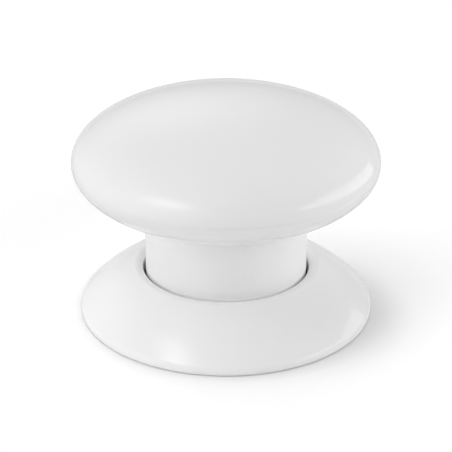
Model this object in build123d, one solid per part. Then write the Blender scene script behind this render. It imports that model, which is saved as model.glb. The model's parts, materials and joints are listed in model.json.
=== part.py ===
from build123d import *
import math
import os

os.makedirs("parts", exist_ok=True)

# A mushroom push button that stands on a flared foot. Millimetres, +Z up, origin on the resting plane
# under the middle of the foot. The battery tube stands in the foot by a bayonet. The head slides on the
# tube against a coil spring and presses the switch on top of the board.

# Head
cap_radius = 23.0
crown_height = 9.8
crown_flat_radius = 0.4
underside_depth = 9.3
shell_wall = 1.6
seam_drop = 1.2
seam_gap = 0.12
seam_groove_depth = 0.6
tongue_clearance = 0.05
tongue_wall = 1.05
tongue_rise = 1.4
snap_bead_radius = 0.25
boss_height = 0.4
boss_radius = 2.5
press_travel = 0.7

# Stem
stem_wall = 1.2
stem_floor = 1.2
stem_ledge = 1.5
stem_flange_reach = 1.6
stem_socket_clearance = 0.03
stem_stop_clearance = 0.5
stem_foot_chamfer = 0.3

# Foot
base_radius = 22.6
base_height = 7.05
base_wall = 1.5
hole_clearance = 0.3
hole_wall = 1.45
lip_radius = 1.27
lip_slope = 25.0
rim_round = 0.8
rim_edge = 0.2
rim_lift = 0.3
rim_width = 2.0
pad_margin = 1.1
pad_thickness = 0.5
pad_edge = 0.15
plate_thickness = 0.8
plate_clearance = 0.15
plate_screw_angle = 30.0
plate_screw_radius = 0.9
plate_screw_head_radius = 1.7
plate_screw_length = 2.4
screw_boss_radius = 2.0
screw_count = 3

# Bayonet between the foot and the battery tube
lug_count = 3
lug_height = 1.0
lug_reach = 1.4
lug_angle = 28.0
lug_clearance = 0.25
hook_height = 0.9
hook_lead_angle = 6.0
hook_side_clearance = 0.2
hook_gap = 0.15
socket_wall = 1.15
socket_top_gap = 0.15
twist_angle = 45.0
stop_slack_angle = 0.3
bayonet_gap = 0.1

# Cell
cell_radius = 7.25
cell_length = 25.0
cell_edge = 0.4
wrap_thickness = 0.15
wrap_lip = 1.6
terminal_radius = 2.5
terminal_height = 1.0
terminal_edge = 0.3
gasket_width = 2.8
gasket_height = 0.3

# Battery tube
tube_clearance = 0.2
tube_wall = 1.15
tube_lip_reach = 1.6
tube_lip_height = 0.6
tube_lip_clearance = 0.1
tube_flange_height = 1.5
tube_flange_margin = 0.5
tube_skirt_wall = 0.9
rib_count = 3
rib_angle = 60.0
rib_depth = 0.65
rib_width = 1.6
rib_clearance = 0.1
tray_key_width = 1.0
guide_clearance = 0.2

# Return spring
spring_wire = 0.6
spring_clearance = 0.45
spring_turn_count = 7
sleeve_clearance = 0.4

# Contacts
leaf = 0.2
contact_height = 0.7
contact_disc_radius = 5.0
contact_tongue_width = 3.0
contact_tongue_tip = 1.5
contact_finger_width = 2.0
contact_finger_length = 1.1
contact_peg_radius = 0.5
contact_peg_circle = 3.5
contact_peg_height = 0.3
strip_width = 2.0
strip_thickness = 0.25
strip_slot_spare = 0.05
strip_foot_length = 1.15
strip_pad_length = 1.9
positive_gap = 0.5
positive_width = 3.0
positive_reach = 6.0
positive_pad_length = 4.5
positive_tip = 2.0

# Tray, board and what holds them
tray_thickness = 1.0
tray_clearance = 0.05
tray_margin = 0.3
tray_window_radius = 1.5
post_radius = 1.7
post_gap = 0.4
post_angle = 90.0
post_count = 3
board_thickness = 1.0
board_clearance = 0.3
board_screw_radius = 0.8
board_screw_head_radius = 1.5
board_screw_head_height = 0.8
board_screw_length = 5.0
screw_clearance = 0.02
screw_slot_width = 0.3
ring_thickness = 0.6
ring_groove_depth = 0.5
ring_groove_spare = 0.05
ring_reach = 1.3
ring_opening_angle = 50.0
ring_clearance = 0.02

# Switch
switch_side = 6.2
switch_height = 2.5
switch_cover_sheet = 0.3
switch_clip_width = 2.4
switch_clip_drop = 1.3
switch_cavity_radius = 2.6
switch_floor = 0.3
switch_leg_width = 0.7
switch_leg_height = 0.25
switch_leg_reach = 0.9
plunger_radius = 1.75
plunger_flange_radius = 2.3
plunger_flange_height = 0.4
plunger_clearance = 0.1
plunger_spare = 0.3
plunger_edge = 0.2
snap_dome_radius = 2.35
snap_dome_flat_radius = 0.5
snap_dome_sheet = 0.12

# Parts on the board
module_margin = 0.85
module_width = 8.0
module_board = 0.8
module_chip_share = 0.5
module_chip_height = 0.8
shield_margin = 0.3
shield_height = 1.4
shield_sheet = 0.2
shield_hole_radius = 0.4
capacitor_margin = 1.2
capacitor_height = 5.0
capacitor_foot_edge = 0.15
capacitor_foot_height = 0.5
capacitor_edge = 0.3
sounder_margin = 1.1
sounder_height = 2.5
sounder_port_radius = 0.7
sounder_port_depth = 1.0
controller_side = 5.0
controller_height = 0.85
controller_dot_radius = 0.35
controller_dot_depth = 0.1
crystal_length = 3.2
crystal_width = 2.5
crystal_height = 0.5
crystal_lid_margin = 0.2
crystal_lid_height = 0.3
led_length = 3.0
led_width = 2.0
led_height = 0.5
led_lens_radius = 0.7
chip_length = 1.6
chip_width = 0.8
chip_height = 0.55
antenna_width = 0.6
antenna_height = 0.4
antenna_edge_gap = 0.85
antenna_gap_angle = 10.0

# Places on the board: a share of the board's radius, and an angle
controller_place_shares = (0.53, 180.0)
crystal_place_shares = (0.52, 240.0)
led_place_shares = (0.55, 20.0)
chip_place_shares = (
    (0.70, 0.0), (0.70, 44.0), (0.70, 58.0), (0.70, 112.0), (0.70, 126.0), (0.70, 142.0), (0.70, 232.0),
    (0.70, 246.0), (0.70, 262.0), (0.70, 290.0), (0.50, 60.0), (0.50, 120.0), (0.50, 300.0),
)
module_angle = 30.0
sounder_angle = 150.0
capacitor_angle = 270.0

# One overrun for every cut
overrun = 1.0

# Radii, worked out from the cell outwards
tube_bore = cell_radius + tube_clearance
tube_radius = tube_bore + tube_wall
rib_radius = tube_radius + rib_depth
spring_radius = rib_radius + spring_clearance + spring_wire / 2
flange_radius = spring_radius + spring_wire / 2 + tube_flange_margin
skirt_bore = flange_radius - tube_skirt_wall
stem_bore = flange_radius + sleeve_clearance
stem_radius = stem_bore + stem_wall
stem_flange_radius = stem_radius + stem_flange_reach
hole_radius = stem_radius + hole_clearance
lug_radius = flange_radius + lug_reach
hook_radius = flange_radius + hook_side_clearance
socket_radius = lug_radius + lug_clearance
ring_radius = tube_radius + ring_reach
post_circle = ring_radius + post_gap + post_radius
plate_radius = base_radius - rim_width
plate_screw_circle = (socket_radius + socket_wall + plate_radius) / 2
strip_face = tube_radius - strip_thickness - strip_slot_spare
can_radius = cell_radius - wrap_thickness
inner_radius = cap_radius - shell_wall
inner_crown = crown_height - shell_wall
inner_depth = underside_depth - shell_wall
tongue_outer = inner_radius - tongue_clearance
tongue_inner = tongue_outer - tongue_wall


def ellipse_rise(radius, half_width, half_height):
    return half_height * math.sqrt(1 - (radius / half_width) ** 2)


def ellipse_reach(rise, half_width, half_height):
    return half_width * math.sqrt(1 - (rise / half_height) ** 2)


def ellipse_angle(radius, half_width):
    return math.degrees(math.acos(radius / half_width))


# Heights, worked out from the resting plane upwards
plate_top = pad_thickness + plate_thickness
lug_bottom = plate_top + bayonet_gap
lug_top = lug_bottom + lug_height
hook_bottom = lug_top + hook_gap
hook_top = hook_bottom + hook_height
tube_bottom = lug_top + bayonet_gap
flange_top = tube_bottom + tube_flange_height
stem_bottom = hook_top + stem_stop_clearance + press_travel
cell_bottom = plate_top + contact_height
cell_top = cell_bottom + cell_length
can_top = cell_top - terminal_height
lip_top = can_top + wrap_thickness
tube_top = lip_top + tube_lip_clearance + tube_lip_height
board_bottom = cell_top + positive_gap
board_top = board_bottom + board_thickness
switch_top = board_top + switch_height
plunger_top = switch_top + press_travel + plunger_spare
dome_ceiling = plunger_top + boss_height
equator = dome_ceiling + shell_wall - crown_height
seam_height = equator - seam_drop
floor_bottom = equator - ellipse_rise(stem_radius, cap_radius, underside_depth) + stem_ledge
floor_top = floor_bottom + stem_floor
tray_top = floor_top + tray_thickness
ring_top = tray_top + ring_thickness
strip_foot_bottom = tube_bottom - strip_thickness

# The board reaches as far as the pressed dome lets it, and its tall parts fill the room round the tube
board_radius = ellipse_reach(board_top + press_travel + board_clearance - equator, inner_radius, inner_crown)
tube_room = board_radius - tube_radius
tall_part_circle = tube_radius + tube_room / 2


def turned(*edges, angle=360.0):
    """A solid of revolution from a closed outline of radius and height."""
    return revolve(Plane.XZ * make_face(Curve() + list(edges)), Axis.Z, angle)


def ring(inner, outer, bottom, top, angle=360.0):
    corners = ((inner, bottom), (outer, bottom), (outer, top), (inner, top))
    return turned(Polyline(*corners, close=True), angle=angle)


def disc(radius, bottom, top):
    return Pos(0, 0, bottom) * extrude(Circle(radius), top - bottom)


def block(x_range, y_range, z_range):
    ranges = (x_range, y_range, z_range)
    size = [high - low for low, high in ranges]
    middle = [(low + high) / 2 for low, high in ranges]
    return Pos(*middle) * Box(*size)


def across(width):
    return (-width / 2, width / 2)


def around(shape, count, start):
    return [Rot(0, 0, start + turn * 360 / count) * shape for turn in range(count)]


def placed(shape, radius, angle, height):
    return Rot(0, 0, angle) * Pos(radius, 0, height) * shape


def on_board(shape, place_shares):
    share, angle = place_shares
    return placed(shape, share * board_radius, angle, board_top)


def under_board(shape, angle):
    return placed(shape, tall_part_circle, angle, board_bottom)


def standing(length, width, height):
    return block(across(length), across(width), (0, height))


def hanging(length, width, height):
    return block(across(length), across(width), (-height, 0))


# Foot


def arc_under(flank, depth, low_height, high_radius):
    """The flank's arc moved inwards, from a height up to a radius."""
    centre = flank.arc_center
    radius = flank.radius - depth
    start = math.degrees(math.asin((low_height - centre.Y) / radius))
    end = math.degrees(math.acos((high_radius - centre.X) / radius))
    return CenterArc(centre, radius, start, end - start)


def base_shell():
    slope = math.radians(lip_slope)
    lip_centre = (hole_radius + lip_radius, base_height - lip_radius)
    lip_end = (lip_centre[0] + lip_radius * math.sin(slope), lip_centre[1] + lip_radius * math.cos(slope))
    lip = ThreePointArc((hole_radius, lip_centre[1]), (lip_centre[0], base_height), lip_end)
    rim_centre = (base_radius - rim_round, rim_lift + rim_edge)
    flank_way = Vector(lip_end) - Vector(rim_centre)
    flank_reach = flank_way.X * math.sin(slope) + flank_way.Y * math.cos(slope)
    flank_radius = (flank_way.length**2 - rim_round**2) / (2 * (flank_reach - rim_round))
    flank_centre = Vector(lip_end) - flank_radius * Vector(math.sin(slope), math.cos(slope))
    rim_way = Vector(rim_centre) - flank_centre
    rim_angle = math.degrees(math.atan2(rim_way.Y, rim_way.X))
    flank = CenterArc(flank_centre, flank_radius, 90 - lip_slope, rim_angle + lip_slope - 90)
    rim = CenterArc(rim_centre, rim_round, rim_angle, -rim_angle)
    wall_bottom = hook_top + socket_top_gap
    wall_outer = hole_radius + hole_wall
    bore = plate_radius + plate_clearance
    roof = arc_under(flank, base_wall, plate_top, wall_outer)
    shell = turned(
        Line((hole_radius, wall_bottom), lip @ 0),
        lip,
        flank,
        rim,
        Polyline(rim @ 1, (base_radius, rim_lift), (bore, rim_lift), (bore, plate_top), roof @ 0),
        roof,
        Polyline(roof @ 1, (wall_outer, wall_bottom), (hole_radius, wall_bottom)),
    )
    skin = arc_under(flank, base_wall / 2, plate_top, wall_outer)
    room = turned(skin, Polyline(skin @ 1, (wall_outer, plate_top), skin @ 0))
    boss = room & Pos(plate_screw_circle, 0, 0) * disc(screw_boss_radius, plate_top, base_height)
    pilot_top = plate_top + plate_screw_length
    pilot = disc(plate_screw_radius + screw_clearance, plate_top - overrun, pilot_top)
    pilots = around(Pos(plate_screw_circle, 0, 0) * pilot, screw_count, plate_screw_angle)
    return shell + around(boss, screw_count, plate_screw_angle) - pilots


def base_plate():
    plate = disc(plate_radius, pad_thickness, plate_top)
    socket = ring(socket_radius, socket_radius + socket_wall, plate_top, hook_top)
    stop_start = lug_angle / 2 + twist_angle + stop_slack_angle
    stop_end = 360 / lug_count - lug_angle / 2 - stop_slack_angle
    hook_end = 360 / lug_count + lug_angle / 2 + hook_lead_angle
    reach = socket_radius + socket_wall / 2
    stop = Rot(0, 0, stop_start) * ring(hook_radius, reach, plate_top, hook_top, stop_end - stop_start)
    hook = Rot(0, 0, stop_end) * ring(hook_radius, reach, hook_bottom, hook_top, hook_end - stop_end)
    peg = Pos(0, contact_peg_circle, 0) * disc(contact_peg_radius, plate_top, plate_top + contact_peg_height)
    screw = Pos(plate_screw_circle, 0, 0) * countersunk(screw_clearance)
    solid = plate + socket + around(stop, lug_count, 0) + around(hook, lug_count, 0) + around(peg, 2, 0)
    return solid - around(screw, screw_count, plate_screw_angle)


def countersunk(extra):
    """One plate screw, or with extra room the hole that it goes through."""
    sink = plate_screw_head_radius - plate_screw_radius
    return turned(
        Polyline(
            (0, pad_thickness),
            (plate_screw_head_radius + extra, pad_thickness),
            (plate_screw_radius + extra, pad_thickness + sink),
            (plate_screw_radius + extra, plate_top + plate_screw_length),
            (0, plate_top + plate_screw_length),
            close=True,
        )
    )


def screw_slots(bottom, top, head_radius):
    slot = block(across(head_radius), across(screw_slot_width), (bottom, top))
    return slot + Rot(0, 0, 90) * slot


def plate_screws():
    drive_top = pad_thickness + screw_slot_width
    screw = countersunk(0) - screw_slots(pad_thickness - overrun, drive_top, plate_screw_head_radius)
    return Compound(around(Pos(plate_screw_circle, 0, 0) * screw, screw_count, plate_screw_angle))


def adhesive_pad():
    pad = disc(plate_radius - pad_margin, 0, pad_thickness)
    return fillet(pad.edges().group_by(Axis.Z)[0], pad_edge)


def contact_plate():
    plate = disc(contact_disc_radius, plate_top, plate_top + leaf)
    peg_hole = Pos(0, contact_peg_circle, 0)
    peg_hole *= disc(contact_peg_radius + screw_clearance, plate_top - overrun, plate_top + overrun)
    tongue_end = leaf - contact_disc_radius
    tongue_y = across(contact_tongue_width)
    tongue_leg = block((-contact_disc_radius, tongue_end), tongue_y, (plate_top, cell_bottom))
    tongue = block((-contact_disc_radius, contact_tongue_tip), tongue_y, (cell_bottom - leaf, cell_bottom))
    root = block((-contact_disc_radius, 0), tongue_y, (plate_top, plate_top + leaf))
    finger_end = strip_face + contact_finger_length
    finger_y = across(contact_finger_width)
    finger_base = block((0, finger_end), finger_y, (plate_top, plate_top + leaf))
    finger_leg = block((finger_end - leaf, finger_end), finger_y, (plate_top, strip_foot_bottom))
    finger_top = (strip_foot_bottom - leaf, strip_foot_bottom)
    finger = block((finger_end - contact_finger_length, finger_end), finger_y, finger_top)
    bent = tongue_leg + tongue + root + finger_base + finger_leg + finger
    return plate + bent - around(peg_hole, 2, 0)


# Battery tube, its cell and its strip


def strip_slot(bottom, top):
    width = across(strip_width + 2 * strip_slot_spare)
    return block((strip_face, tube_radius), width, (bottom, top))


def battery_tube():
    lip_bottom = tube_top - tube_lip_height
    tube = ring(tube_bore, tube_radius, tube_bottom, tube_top)
    lip = ring(cell_radius - tube_lip_reach, tube_bore + tube_wall / 2, lip_bottom, tube_top)
    flange = ring(tube_radius - tube_wall / 2, flange_radius, tube_bottom, flange_top)
    skirt = ring(skirt_bore, flange_radius, lug_bottom, flange_top)
    lug = ring(flange_radius - tube_skirt_wall / 2, lug_radius, lug_bottom, lug_top, lug_angle)
    lugs = around(Rot(0, 0, -lug_angle / 2) * lug, lug_count, 0)
    root = tube_radius - tube_wall / 2
    rib = block((root, rib_radius), across(rib_width), (flange_top, floor_top))
    key = block((root, rib_radius), across(tray_key_width), (floor_top, tray_top))
    groove_top = ring_top + ring_groove_spare
    groove = ring(tube_radius - ring_groove_depth, rib_radius + overrun, tray_top, groove_top)
    solid = tube + lip + flange + skirt + lugs + around(rib + key, rib_count, rib_angle)
    return solid - groove - strip_slot(tube_bottom, tube_top)


def ground_strip():
    width = across(strip_width)
    outer = strip_face + strip_thickness
    upright = block((strip_face, outer), width, (strip_foot_bottom, board_bottom))
    foot_end = outer + strip_foot_length
    foot = block((strip_face, foot_end), width, (strip_foot_bottom, tube_bottom))
    pad_end = outer + strip_pad_length
    pad = block((strip_face, pad_end), width, (board_bottom - strip_thickness, board_bottom))
    return upright + foot + pad


def battery_can():
    can = disc(can_radius, cell_bottom, can_top)
    return fillet(can.edges().group_by(Axis.Z)[0], cell_edge)


def battery_sleeve():
    side = ring(can_radius, cell_radius, cell_bottom + cell_edge, lip_top)
    return side + ring(cell_radius - wrap_lip, can_radius + wrap_thickness / 2, can_top, lip_top)


def battery_gasket():
    return ring(terminal_radius, terminal_radius + gasket_width, can_top, can_top + gasket_height)


def battery_terminal():
    stud = disc(terminal_radius, can_top, cell_top)
    return fillet(stud.edges().group_by(Axis.Z)[-1], terminal_edge)


# Tray and board


def board_tray():
    post = disc(post_radius, floor_top, board_bottom)
    pilot = disc(board_screw_radius + screw_clearance, board_top - board_screw_length, board_bottom + overrun)
    hub_radius = post_circle + post_radius + tray_margin
    hub = ring(tube_radius + tray_clearance, hub_radius, floor_top, tray_top)
    key_x = (tube_radius, rib_radius + rib_clearance)
    key_slot = block(key_x, across(tray_key_width + 2 * rib_clearance), (floor_top, tray_top))
    window = Pos(post_circle, 0, 0) * disc(tray_window_radius, floor_top - overrun, tray_top + overrun)
    windows = around(window, post_count, post_angle + 180 / post_count)
    posts = around(Pos(post_circle, 0, 0) * post, post_count, post_angle)
    pilots = around(Pos(post_circle, 0, 0) * pilot, post_count, post_angle)
    return hub + posts - pilots - windows - around(key_slot, rib_count, rib_angle)


def retaining_ring():
    groove_radius = tube_radius - ring_groove_depth + ring_clearance
    open_ring = ring(groove_radius, ring_radius, tray_top, ring_top, 360 - ring_opening_angle)
    return Rot(0, 0, ring_opening_angle / 2) * open_ring


def main_board():
    board = disc(board_radius, board_bottom, board_top)
    hole = disc(board_screw_radius + screw_clearance, board_bottom - overrun, board_top + overrun)
    return board - around(Pos(post_circle, 0, 0) * hole, post_count, post_angle)


def board_screws():
    shank = disc(board_screw_radius, board_top - board_screw_length, board_top)
    head_top = board_top + board_screw_head_height
    head = disc(board_screw_head_radius, board_top, head_top)
    head = fillet(head.edges().group_by(Axis.Z)[-1], board_screw_head_height / 4)
    slots = screw_slots(head_top - screw_slot_width, head_top + overrun, board_screw_head_radius)
    return Compound(around(Pos(post_circle, 0, 0) * (shank + head - slots), post_count, post_angle))


def positive_contact():
    width = across(positive_width)
    pad_x = (positive_reach - positive_pad_length, positive_reach)
    pad = block(pad_x, width, (board_bottom - leaf, board_bottom))
    leg = block((positive_reach - leaf, positive_reach), width, (cell_top, board_bottom))
    tongue = block((-positive_tip, positive_reach), width, (cell_top, cell_top + leaf))
    return pad + leg + tongue


# Switch


def switch_body():
    cover_bottom = switch_top - switch_cover_sheet
    body = block(across(switch_side), across(switch_side), (board_top, cover_bottom))
    cavity = disc(switch_cavity_radius, board_top + switch_floor, switch_top)
    leg_x = (switch_side / 2 - switch_leg_width, switch_side / 2 + switch_leg_reach)
    leg_z = (board_top, board_top + switch_leg_height)
    leg = Pos(0, switch_side / 4, 0) * block(leg_x, across(switch_leg_width), leg_z)
    pair = leg + mirror(leg, Plane.XZ)
    return body + pair + mirror(pair, Plane.YZ) - cavity


def switch_cover():
    sheet = (switch_top - switch_cover_sheet, switch_top)
    cover = block(across(switch_side), across(switch_side), sheet)
    clip_y = (switch_side / 2, switch_side / 2 + switch_cover_sheet)
    clip = block(across(switch_clip_width), clip_y, (switch_top - switch_clip_drop, switch_top))
    hole = disc(plunger_radius + plunger_clearance, board_top, switch_top + overrun)
    return cover + clip + mirror(clip, Plane.XZ) - hole


def plunger_flange_bottom():
    return switch_top - switch_cover_sheet - plunger_clearance - plunger_flange_height


def switch_plunger():
    flange_bottom = plunger_flange_bottom()
    flange = disc(plunger_flange_radius, flange_bottom, flange_bottom + plunger_flange_height)
    stem = disc(plunger_radius, flange_bottom, plunger_top)
    return flange + fillet(stem.edges().group_by(Axis.Z)[-1], plunger_edge)


def switch_dome():
    seat = board_top + switch_floor
    apex = plunger_flange_bottom()
    shell_radius = snap_dome_radius - snap_dome_sheet
    outer_turn = ellipse_angle(snap_dome_flat_radius, snap_dome_radius)
    inner_turn = ellipse_angle(snap_dome_flat_radius, shell_radius)
    outer = EllipticalCenterArc((0, seat), snap_dome_radius, apex - seat, arc_size=outer_turn)
    inner = EllipticalCenterArc((0, seat), shell_radius, apex - seat - snap_dome_sheet, arc_size=inner_turn)
    top = Polyline(outer @ 1, (0, (outer @ 1).Y), (0, (inner @ 1).Y), inner @ 1)
    return turned(outer, top, inner, Line(inner @ 0, outer @ 0))


# Parts on the board


def microcontroller():
    chip = standing(controller_side, controller_side, controller_height)
    corner = controller_side / 2 - 2 * controller_dot_radius
    dot = Pos(corner, corner, 0)
    dot *= disc(controller_dot_radius, controller_height - controller_dot_depth, controller_height + overrun)
    return on_board(chip - dot, controller_place_shares)


def crystal():
    case = standing(crystal_length, crystal_width, crystal_height)
    lid_length = crystal_length - 2 * crystal_lid_margin
    lid_width = crystal_width - 2 * crystal_lid_margin
    lid = Pos(0, 0, crystal_height) * standing(lid_length, lid_width, crystal_lid_height)
    return on_board(case + lid, crystal_place_shares)


def status_led():
    case = standing(led_width, led_length, led_height)
    lens = Pos(0, 0, led_height) * Sphere(led_lens_radius)
    keep = standing(led_width, led_length, led_height + led_lens_radius)
    return on_board(case + (lens & keep), led_place_shares)


def chip_components():
    chip = standing(chip_width, chip_length, chip_height)
    return Compound([on_board(chip, place) for place in chip_place_shares])


def radio_module():
    depth = tube_room - 2 * module_margin
    chip_side = module_chip_share * depth
    board = hanging(depth, module_width, module_board)
    chip = Pos(0, 0, -module_board) * hanging(chip_side, chip_side, module_chip_height)
    return under_board(board + chip, module_angle)


def radio_shield():
    depth = tube_room - 2 * module_margin - 2 * shield_margin
    width = module_width - 2 * shield_margin
    room = shield_height - shield_sheet
    can = hanging(depth, width, shield_height)
    can -= hanging(depth - 2 * shield_sheet, width - 2 * shield_sheet, room)
    hole = disc(shield_hole_radius, -shield_height - overrun, 0)
    holes = [Pos(0, side * width / 4, 0) * hole for side in (-1, 1)]
    return under_board(Pos(0, 0, -module_board) * (can - holes), module_angle)


def sounder():
    side = tube_room - 2 * sounder_margin
    case = hanging(side, side, sounder_height)
    port = disc(sounder_port_radius, -sounder_height - overrun, sounder_port_depth - sounder_height)
    return under_board(case - port, sounder_angle)


def buffer_capacitor():
    side = tube_room - 2 * capacitor_margin
    foot = hanging(side, side, capacitor_foot_height)
    can = disc(side / 2 - capacitor_foot_edge, -capacitor_height, 0)
    can = fillet(can.edges().group_by(Axis.Z)[0], capacitor_edge)
    return under_board(foot + can, capacitor_angle)


def antenna():
    outer = board_radius - antenna_edge_gap
    turn = 360 / post_count - 2 * antenna_gap_angle
    strip = ring(outer - antenna_width, outer, board_top, board_top + antenna_height, turn)
    return Rot(0, 0, post_angle + antenna_gap_angle) * strip


# Head


def head_ellipse(half_width, half_height, start, end):
    """Part of an ellipse about the head's equator, its angles taken from the widest line upwards."""
    return EllipticalCenterArc((0, equator), half_width, half_height, start, arc_size=end - start)


def snap_bead(extra):
    bead_height = seam_height + seam_gap + tongue_rise / 2
    return Pos(0, 0, bead_height) * Torus(tongue_outer, snap_bead_radius + extra)


def dome_cap():
    skirt_bottom = seam_height + seam_gap
    skirt_radius = ellipse_reach(equator - skirt_bottom, cap_radius, underside_depth)
    crown = head_ellipse(cap_radius, crown_height, 0, ellipse_angle(crown_flat_radius, cap_radius))
    vault = head_ellipse(inner_radius, inner_crown, 0, ellipse_angle(boss_radius, inner_radius))
    crown_top = (crown @ 1).Y
    shell = turned(
        head_ellipse(cap_radius, underside_depth, -ellipse_angle(skirt_radius, cap_radius), 0),
        crown,
        Polyline(crown @ 1, (0, crown_top), (0, plunger_top), (boss_radius, plunger_top), vault @ 1),
        vault,
        Polyline(vault @ 0, (inner_radius, skirt_bottom), (skirt_radius, skirt_bottom)),
    )
    return shell - snap_bead(screw_clearance)


def lower_shell():
    socket = stem_radius + stem_socket_clearance
    pocket = stem_flange_radius + stem_socket_clearance
    land_top = seam_height + seam_gap
    seam_radius = ellipse_reach(seam_drop, cap_radius, underside_depth)
    land_radius = seam_radius - seam_groove_depth
    tongue_top = land_top + tongue_rise
    start, end = (-ellipse_angle(radius, cap_radius) for radius in (socket, seam_radius))
    outside = head_ellipse(cap_radius, underside_depth, start, end)
    start, end = (-ellipse_angle(radius, inner_radius) for radius in (pocket, tongue_inner))
    inside = head_ellipse(inner_radius, inner_depth, start, end)
    shell = turned(
        outside,
        Polyline(
            outside @ 1,
            (land_radius, seam_height),
            (land_radius, land_top),
            (tongue_outer, land_top),
            (tongue_outer, tongue_top),
            (tongue_inner, tongue_top),
            inside @ 1,
        ),
        inside,
        Polyline(inside @ 0, (pocket, floor_bottom), (socket, floor_bottom), outside @ 0),
    )
    return shell + snap_bead(0)


def stem_sleeve():
    sleeve = ring(stem_bore, stem_radius, stem_bottom, floor_top)
    sleeve = chamfer(sleeve.edges().group_by(Axis.Z)[0], stem_foot_chamfer)
    floor = ring(tube_radius + guide_clearance, stem_flange_radius, floor_bottom, floor_top)
    keyway_x = (tube_radius, rib_radius + guide_clearance)
    keyway = block(keyway_x, across(rib_width + 2 * rib_clearance), (floor_bottom, floor_top))
    return sleeve + floor - around(keyway, rib_count, rib_angle)


def helix_point(turn, pitch, bottom):
    angle = math.radians(360 * turn)
    place = Vector(spring_radius * math.cos(angle), spring_radius * math.sin(angle), bottom + pitch * turn)
    rise = pitch / (2 * math.pi * spring_radius)
    return place, Vector(-math.sin(angle), math.cos(angle), rise).normalized()


def biarc(start, start_way, end, end_way):
    """Two arcs that meet smoothly, from one point and direction to another."""
    chord = end - start
    sum_way = start_way + end_way
    bend = 2 * (1 - start_way.dot(end_way))
    reach = (math.sqrt(chord.dot(sum_way) ** 2 + bend * chord.dot(chord)) - chord.dot(sum_way)) / bend
    before = start + start_way * reach
    after = end - end_way * reach
    middle = (before + after) / 2
    return [TangentArc(start, middle, tangent=start_way), TangentArc(middle, end, tangent=after - middle)]


def return_spring():
    bottom = flange_top + spring_wire / 2
    pitch = (floor_bottom - flange_top - spring_wire) / spring_turn_count
    knots = [helix_point(quarter / 4, pitch, bottom) for quarter in range(4 * spring_turn_count + 1)]
    arcs = [arc for low, high in zip(knots, knots[1:]) for arc in biarc(*low, *high)]
    path = Wire(arcs)
    print("spring: least gap between turns", round(spring_gap(path, pitch), 3), "mm")
    return sweep(Plane(origin=knots[0][0], z_dir=knots[0][1]) * Circle(spring_wire / 2), path=path)


def spring_gap(path, pitch):
    """Least gap of the wire to itself, measured between points that lie half a turn or more apart."""
    steps = 24 * spring_turn_count
    points = [path @ (step / steps) for step in range(steps + 1)]
    apart = steps // spring_turn_count // 2
    pairs = [(first, second) for first in range(steps + 1) for second in range(first + apart, steps + 1)]
    return min((points[first] - points[second]).length for first, second in pairs) - spring_wire


nodes = (
    base_shell, base_plate, plate_screws, adhesive_pad, contact_plate,
    battery_tube, ground_strip, battery_can, battery_sleeve, battery_gasket, battery_terminal,
    board_tray, retaining_ring, main_board, board_screws, positive_contact,
    switch_body, switch_cover, switch_plunger, switch_dome,
    microcontroller, crystal, status_led, chip_components, radio_module, radio_shield,
    sounder, buffer_capacitor, antenna,
    dome_cap, lower_shell, stem_sleeve, return_spring,
)

for make in nodes:
    export_step(make(), f"parts/{make.__name__}.step")

print("button:", 2 * cap_radius, "mm across,", equator + crown_height, "mm high")
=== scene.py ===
import json
import math

import bmesh
import bpy
from mathutils import Matrix, Vector


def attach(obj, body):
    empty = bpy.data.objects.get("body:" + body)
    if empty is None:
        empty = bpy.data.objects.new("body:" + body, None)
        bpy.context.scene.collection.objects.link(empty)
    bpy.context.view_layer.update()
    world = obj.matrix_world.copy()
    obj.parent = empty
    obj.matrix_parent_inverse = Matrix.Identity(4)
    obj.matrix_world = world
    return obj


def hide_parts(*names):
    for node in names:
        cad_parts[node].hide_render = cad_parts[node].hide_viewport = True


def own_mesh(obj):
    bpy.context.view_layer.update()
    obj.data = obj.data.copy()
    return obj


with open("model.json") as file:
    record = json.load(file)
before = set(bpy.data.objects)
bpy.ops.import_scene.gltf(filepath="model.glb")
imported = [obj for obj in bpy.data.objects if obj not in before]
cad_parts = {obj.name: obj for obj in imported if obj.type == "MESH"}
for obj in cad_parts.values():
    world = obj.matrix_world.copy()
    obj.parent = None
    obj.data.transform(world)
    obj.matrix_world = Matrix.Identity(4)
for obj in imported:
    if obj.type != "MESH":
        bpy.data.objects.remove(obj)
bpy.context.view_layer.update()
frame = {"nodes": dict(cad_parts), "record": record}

# A white mushroom push button on a white table. Sizes in the dictionaries are millimetres and degrees,
# and every mesh is brought to metres when it is finished.
millimetre = 0.001
meshing = {"cornerSteps": 4, "mergeDistance": 1e-4, "sharpAngle": 32.0}
print("frame loaded:", len(frame["nodes"]), "CAD nodes")


# Outlines of turned pieces: corners and arcs in the XZ plane, in order round the section

def addCorner(profile, radius, height, rounding=0.0):
    corner = profile.verts.new((radius, 0, height))
    return [(corner, rounding)]


def addArc(profile, centre, radii, fromAngle, toAngle, steps):
    # one vertex, spun about the arc's centre and then stretched upright
    across, upright = radii
    angle = math.radians(fromAngle)
    middle = Vector((centre[0], 0, centre[1]))
    before = len(profile.verts)
    start = profile.verts.new(middle + across * Vector((math.cos(angle), 0, math.sin(angle))))
    bmesh.ops.spin(profile, geom=[start], cent=middle, axis=(0, -1, 0),
                   angle=math.radians(toAngle - fromAngle), steps=steps, use_duplicate=False)
    profile.verts.ensure_lookup_table()
    arc = profile.verts[before:]
    bmesh.ops.scale(profile, vec=(1, 1, upright / across), space=Matrix.Translation(-middle), verts=arc)
    return [(vert, 0.0) for vert in arc]


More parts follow.
